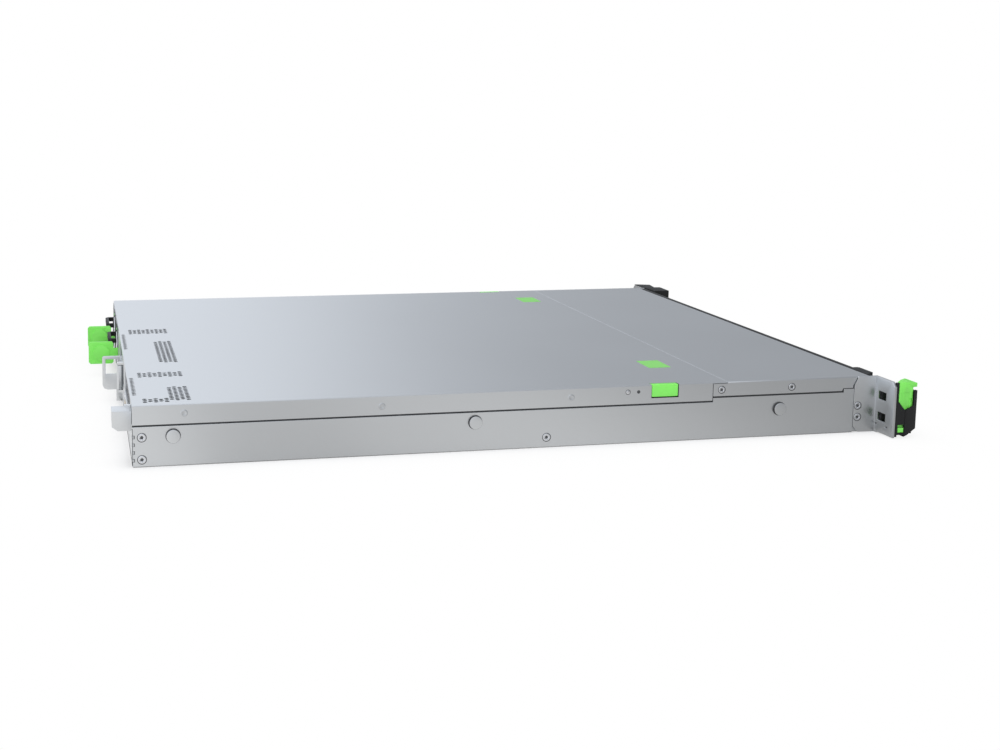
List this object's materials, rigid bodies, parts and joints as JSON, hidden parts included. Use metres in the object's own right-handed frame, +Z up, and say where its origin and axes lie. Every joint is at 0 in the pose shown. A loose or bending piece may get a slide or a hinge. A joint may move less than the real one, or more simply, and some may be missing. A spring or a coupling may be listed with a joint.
{
  "type": "1u rack server",
  "caption": "Short rack-height server with a lift-off vented lid, quick-release ears, slide-in drives, fans and plug-in power supplies.",
  "frame": {"origin": "middle of the footprint, on the underside of the chassis", "axes": "+X across to the server's right seen from its front's back side, the power supplies' side; +Y to the rear; +Z up"},
  "size_m": [0.4826, 0.6062, 0.0435],
  "materials": {
    "shell_steel": "satin plated sheet",
    "bright_steel": "bright plated",
    "inner_steel": "plain plated sheet",
    "black_plastic": "fine texture",
    "green_plastic": "satin",
    "board_laminate": "lacquered board",
    "part_resin": "moulded resin",
    "cast_aluminium": "satin"
  },
  "bodies": {
    "chassis": {"chassis_tub": "shell_steel", "seam_strips": "shell_steel", "rear_panel": "shell_steel", "front_cover": "shell_steel", "ear_bracket_left": "shell_steel", "ear_bracket_right": "shell_steel", "case_screws": "bright_steel", "rail_studs": "bright_steel", "heatsink_screws": "bright_steel", "rear_ports": "bright_steel", "drive_cage": "inner_steel", "fan_holder": "inner_steel", "psu_cage": "inner_steel", "riser_cages": "inner_steel", "slot_blanks": "inner_steel", "ear_housing_left": "black_plastic", "ear_housing_right": "black_plastic", "front_strip": "black_plastic", "fan_frames": "black_plastic", "air_shroud": "black_plastic", "memory_sockets": "black_plastic", "motherboard": "board_laminate", "backplane": "board_laminate", "control_board": "board_laminate", "power_board": "board_laminate", "riser_boards": "board_laminate", "memory_modules": "board_laminate", "board_parts": "part_resin", "cpu_heatsink": "cast_aluminium"},
    "cover": {"top_cover": "shell_steel"},
    "latch_left": {"cover_latch_left": "green_plastic"},
    "latch_right": {"cover_latch_right": "green_plastic"},
    "ear_release_left": {"ear_lever_left": "green_plastic"},
    "ear_release_right": {"ear_lever_right": "green_plastic"},
    "power_key": {"power_button": "black_plastic"},
    "id_key": {"id_button": "black_plastic"},
    "clamp_1": {"slot_clamp_1": "shell_steel"},
    "clamp_2": {"slot_clamp_2": "shell_steel"},
    "bay_1": {"carrier_1": "black_plastic", "drive_1": "cast_aluminium"},
    "bay_handle_1": {"carrier_lever_1": "green_plastic"},
    "bay_2": {"carrier_2": "black_plastic", "drive_2": "cast_aluminium"},
    "bay_handle_2": {"carrier_lever_2": "green_plastic"},
    "bay_3": {"carrier_3": "black_plastic", "drive_3": "cast_aluminium"},
    "bay_handle_3": {"carrier_lever_3": "green_plastic"},
    "bay_4": {"carrier_4": "black_plastic", "drive_4": "cast_aluminium"},
    "bay_handle_4": {"carrier_lever_4": "green_plastic"},
    "fan_1": {"fan_rotor_1": "black_plastic"},
    "fan_2": {"fan_rotor_2": "black_plastic"},
    "fan_3": {"fan_rotor_3": "black_plastic"},
    "fan_4": {"fan_rotor_4": "black_plastic"},
    "psu_1": {"psu_1_case": "inner_steel", "psu_1_inlet": "black_plastic"},
    "psu_1_release": {"psu_1_lever": "green_plastic"},
    "psu_2": {"psu_2_case": "inner_steel", "psu_2_inlet": "black_plastic"},
    "psu_2_release": {"psu_2_lever": "green_plastic"}
  },
  "joints": [
    {"name": "cover_lift", "type": "slide", "parent": "chassis", "child": "cover", "axis": [0, 0, 1], "range_m": [0, 0.08]},
    {"name": "latch_left_press", "type": "hinge", "parent": "cover", "child": "latch_left", "pos_m": [-0.2152, -0.1089, 0.042], "axis": [0, -1, 0], "range_deg": [0, 12], "stiffness_Nm_per_rad": 0.4},
    {"name": "latch_right_press", "type": "hinge", "parent": "cover", "child": "latch_right", "pos_m": [0.2152, -0.1089, 0.042], "axis": [0, 1, 0], "range_deg": [0, 12], "stiffness_Nm_per_rad": 0.4},
    {"name": "ear_left_squeeze", "type": "hinge", "parent": "chassis", "child": "ear_release_left", "pos_m": [-0.234, -0.2909, 0.008], "axis": [0, 1, 0], "range_deg": [0, 9], "stiffness_Nm_per_rad": 0.4},
    {"name": "ear_right_squeeze", "type": "hinge", "parent": "chassis", "child": "ear_release_right", "pos_m": [0.234, -0.2909, 0.008], "axis": [0, -1, 0], "range_deg": [0, 9], "stiffness_Nm_per_rad": 0.4},
    {"name": "power_key_press", "type": "slide", "parent": "chassis", "child": "power_key", "axis": [0, 1, 0], "range_m": [0, 0.0012], "stiffness_N_per_m": 400},
    {"name": "id_key_press", "type": "slide", "parent": "chassis", "child": "id_key", "axis": [0, 1, 0], "range_m": [0, 0.0012], "stiffness_N_per_m": 400},
    {"name": "bay_1_slide", "type": "slide", "parent": "chassis", "child": "bay_1", "axis": [0, -1, 0], "range_m": [0, 0.165]},
    {"name": "bay_1_handle_swing", "type": "hinge", "parent": "bay_1", "child": "bay_handle_1", "pos_m": [-0.20425, -0.2899, 0.0158], "axis": [0, 0, -1], "range_deg": [0, 55]},
    {"name": "bay_2_slide", "type": "slide", "parent": "chassis", "child": "bay_2", "axis": [0, -1, 0], "range_m": [0, 0.165]},
    {"name": "bay_2_handle_swing", "type": "hinge", "parent": "bay_2", "child": "bay_handle_2", "pos_m": [-0.09875, -0.2899, 0.0158], "axis": [0, 0, -1], "range_deg": [0, 55]},
    {"name": "bay_3_slide", "type": "slide", "parent": "chassis", "child": "bay_3", "axis": [0, -1, 0], "range_m": [0, 0.165]},
    {"name": "bay_3_handle_swing", "type": "hinge", "parent": "bay_3", "child": "bay_handle_3", "pos_m": [0.00675, -0.2899, 0.0158], "axis": [0, 0, -1], "range_deg": [0, 55]},
    {"name": "bay_4_slide", "type": "slide", "parent": "chassis", "child": "bay_4", "axis": [0, -1, 0], "range_m": [0, 0.165]},
    {"name": "bay_4_handle_swing", "type": "hinge", "parent": "bay_4", "child": "bay_handle_4", "pos_m": [0.11225, -0.2899, 0.0158], "axis": [0, 0, -1], "range_deg": [0, 55]},
    {"name": "fan_1_spin", "type": "hinge", "parent": "chassis", "child": "fan_1", "pos_m": [-0.165, -0.0829, 0.0214], "axis": [0, 1, 0], "continuous": true},
    {"name": "fan_2_spin", "type": "hinge", "parent": "chassis", "child": "fan_2", "pos_m": [-0.097, -0.0829, 0.0214], "axis": [0, 1, 0], "continuous": true},
    {"name": "fan_3_spin", "type": "hinge", "parent": "chassis", "child": "fan_3", "pos_m": [-0.029, -0.0829, 0.0214], "axis": [0, 1, 0], "continuous": true},
    {"name": "fan_4_spin", "type": "hinge", "parent": "chassis", "child": "fan_4", "pos_m": [0.039, -0.0829, 0.0214], "axis": [0, 1, 0], "continuous": true},
    {"name": "psu_1_slide", "type": "slide", "parent": "chassis", "child": "psu_1", "axis": [0, 1, 0], "range_m": [0, 0.19]},
    {"name": "psu_1_release_press", "type": "hinge", "parent": "psu_1", "child": "psu_1_release", "pos_m": [0.0702, 0.2721, 0.02125], "axis": [0, 0, -1], "range_deg": [0, 6], "stiffness_Nm_per_rad": 0.5},
    {"name": "psu_2_slide", "type": "slide", "parent": "chassis", "child": "psu_2", "axis": [0, 1, 0], "range_m": [0, 0.19]},
    {"name": "psu_2_release_press", "type": "hinge", "parent": "psu_2", "child": "psu_2_release", "pos_m": [0.1457, 0.2721, 0.02125], "axis": [0, 0, -1], "range_deg": [0, 6], "stiffness_Nm_per_rad": 0.5},
    {"name": "clamp_1_swing", "type": "hinge", "parent": "chassis", "child": "clamp_1", "pos_m": [-0.046, 0.2798, 0.02475], "axis": [0, 0, 1], "range_deg": [0, 90]},
    {"name": "clamp_2_swing", "type": "hinge", "parent": "chassis", "child": "clamp_2", "pos_m": [-0.1975, 0.2798, 0.0324], "axis": [0, 0, -1], "range_deg": [0, 90]}
  ]
}
